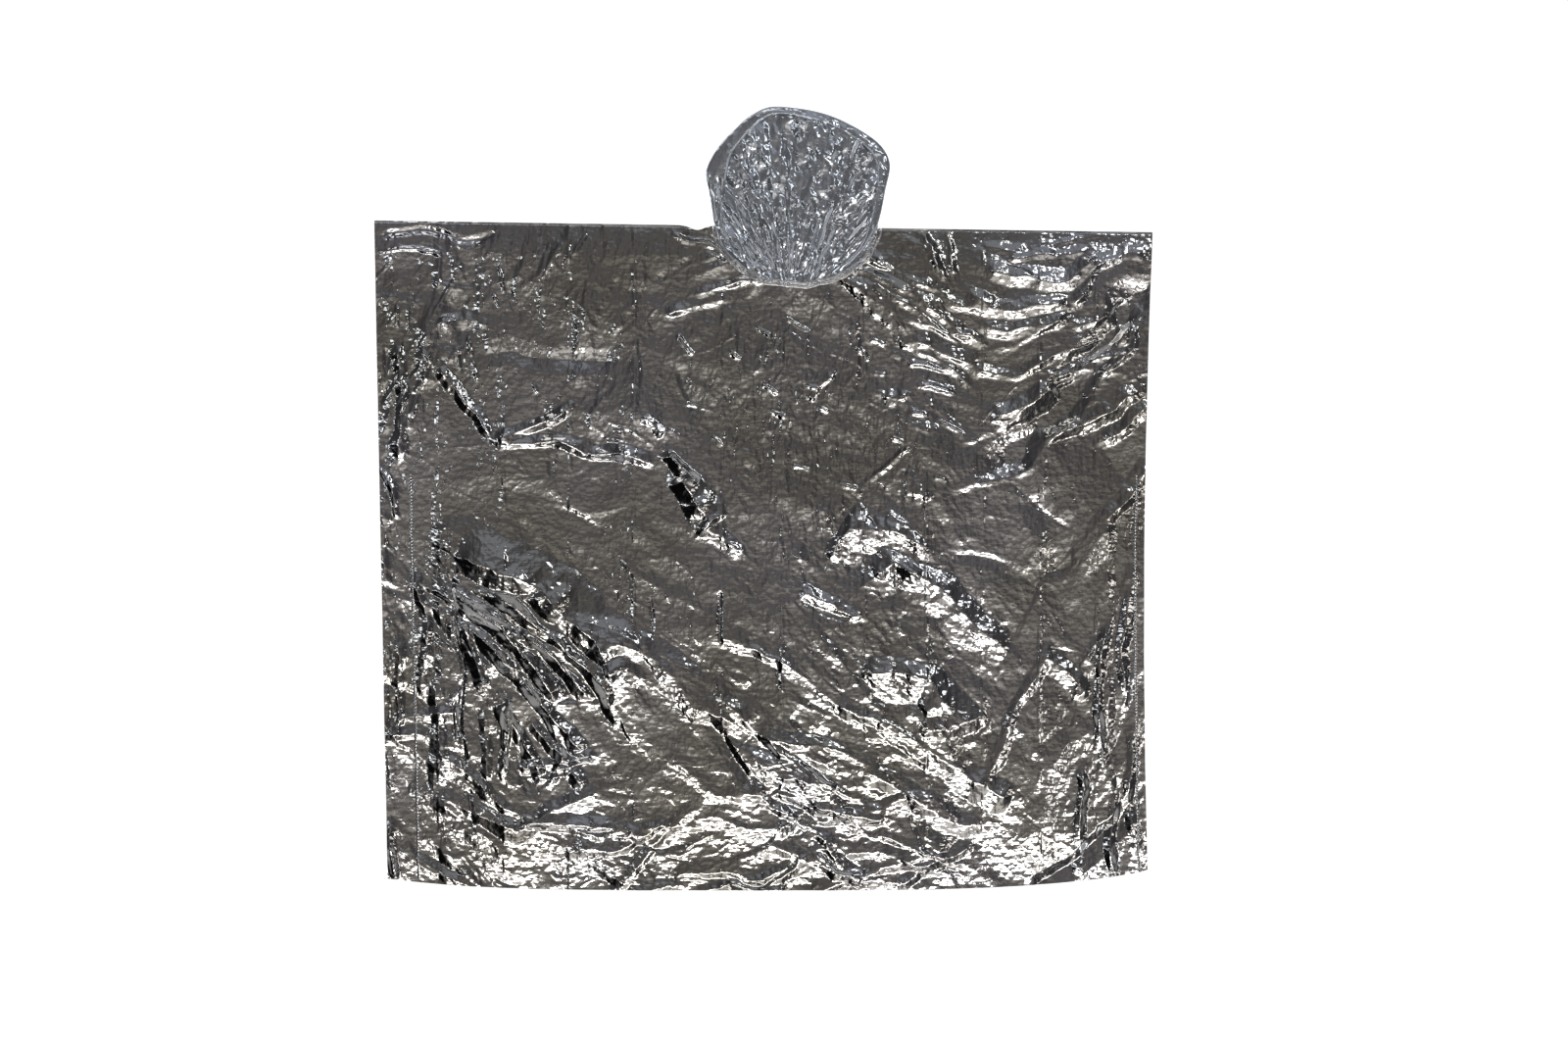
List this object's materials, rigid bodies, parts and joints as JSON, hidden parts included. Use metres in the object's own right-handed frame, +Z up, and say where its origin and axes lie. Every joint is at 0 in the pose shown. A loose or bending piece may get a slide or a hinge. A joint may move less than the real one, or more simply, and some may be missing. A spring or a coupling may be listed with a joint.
{
  "type": "emergency foil poncho",
  "caption": "Hooded emergency poncho of metallised film laid flat, open at hem, face and arms, welded at its sides, with a hood that folds forward and sides that fold like a concertina.",
  "frame": {"origin": "on the ground under the middle of the whole outline, body and hood together", "axes": "+Z up from the ground, +Y from the hem to the crown of the hood, +X to the right as the open face of the hood is looked at"},
  "size_m": [1.27, 1.2788, 0.02],
  "materials": {
    "outer_film": "mirror-bright vapour-deposited aluminium on thin polyester film, crinkled",
    "inner_film": "metallised film, inner side, slightly duller",
    "hood_film": "metallised film, cool silver, finely crumpled",
    "weld": "stippled heat weld in the film, satin"
  },
  "bodies": {
    "centre": {"front_panel_centre": "outer_film", "back_panel_centre": "inner_film", "shoulder_fold_centre_left": "outer_film", "shoulder_fold_centre_right": "outer_film", "neck_seal_front": "weld", "neck_seal_back": "weld", "hood_yoke": "hood_film"},
    "hood": {"hood_back": "hood_film", "hood_brim": "hood_film", "hood_crown_fold": "hood_film"},
    "left_strip_1": {"front_panel_left_1": "outer_film", "back_panel_left_1": "inner_film", "shoulder_fold_left_1": "outer_film"},
    "left_strip_2": {"front_panel_left_2": "outer_film", "back_panel_left_2": "inner_film", "shoulder_fold_left_2": "outer_film"},
    "left_strip_3": {"front_panel_left_3": "outer_film", "back_panel_left_3": "inner_film", "shoulder_fold_left_3": "outer_film"},
    "left_strip_4": {"front_panel_left_4": "outer_film", "back_panel_left_4": "inner_film", "shoulder_fold_left_4": "outer_film", "side_seal_left": "weld"},
    "right_strip_1": {"front_panel_right_1": "outer_film", "back_panel_right_1": "inner_film", "shoulder_fold_right_1": "outer_film"},
    "right_strip_2": {"front_panel_right_2": "outer_film", "back_panel_right_2": "inner_film", "shoulder_fold_right_2": "outer_film"},
    "right_strip_3": {"front_panel_right_3": "outer_film", "back_panel_right_3": "inner_film", "shoulder_fold_right_3": "outer_film"},
    "right_strip_4": {"front_panel_right_4": "outer_film", "back_panel_right_4": "inner_film", "shoulder_fold_right_4": "outer_film", "side_seal_right": "weld"}
  },
  "joints": [
    {"name": "hood_fold", "type": "hinge", "parent": "centre", "child": "hood", "pos_m": [0.0535, 0.4468, 0.014], "axis": [1, 0, 0], "range_deg": [0, 170]},
    {"name": "left_crease_1", "type": "hinge", "parent": "centre", "child": "left_strip_1", "pos_m": [-0.211, 0, 0.0073], "axis": [0, 1, 0], "range_deg": [0, 80]},
    {"name": "left_crease_2", "type": "hinge", "parent": "left_strip_1", "child": "left_strip_2", "pos_m": [-0.317, 0, -0.0003], "axis": [0, 1, 0], "range_deg": [-160, 0]},
    {"name": "left_crease_3", "type": "hinge", "parent": "left_strip_2", "child": "left_strip_3", "pos_m": [-0.423, 0, 0.0073], "axis": [0, 1, 0], "range_deg": [0, 160]},
    {"name": "left_crease_4", "type": "hinge", "parent": "left_strip_3", "child": "left_strip_4", "pos_m": [-0.529, 0, -0.0003], "axis": [0, 1, 0], "range_deg": [-160, 0]},
    {"name": "right_crease_1", "type": "hinge", "parent": "centre", "child": "right_strip_1", "pos_m": [0.265, 0, 0.0073], "axis": [0, -1, 0], "range_deg": [0, 80]},
    {"name": "right_crease_2", "type": "hinge", "parent": "right_strip_1", "child": "right_strip_2", "pos_m": [0.3575, 0, -0.0003], "axis": [0, -1, 0], "range_deg": [-160, 0]},
    {"name": "right_crease_3", "type": "hinge", "parent": "right_strip_2", "child": "right_strip_3", "pos_m": [0.45, 0, 0.0073], "axis": [0, -1, 0], "range_deg": [0, 160]},
    {"name": "right_crease_4", "type": "hinge", "parent": "right_strip_3", "child": "right_strip_4", "pos_m": [0.5425, 0, -0.0003], "axis": [0, -1, 0], "range_deg": [-160, 0]}
  ],
  "couplings": [
    {"joint": "left_crease_2", "follows": "left_crease_1", "ratio": -2},
    {"joint": "left_crease_3", "follows": "left_crease_1", "ratio": 2},
    {"joint": "left_crease_4", "follows": "left_crease_1", "ratio": -2},
    {"joint": "right_crease_2", "follows": "right_crease_1", "ratio": -2},
    {"joint": "right_crease_3", "follows": "right_crease_1", "ratio": 2},
    {"joint": "right_crease_4", "follows": "right_crease_1", "ratio": -2}
  ]
}
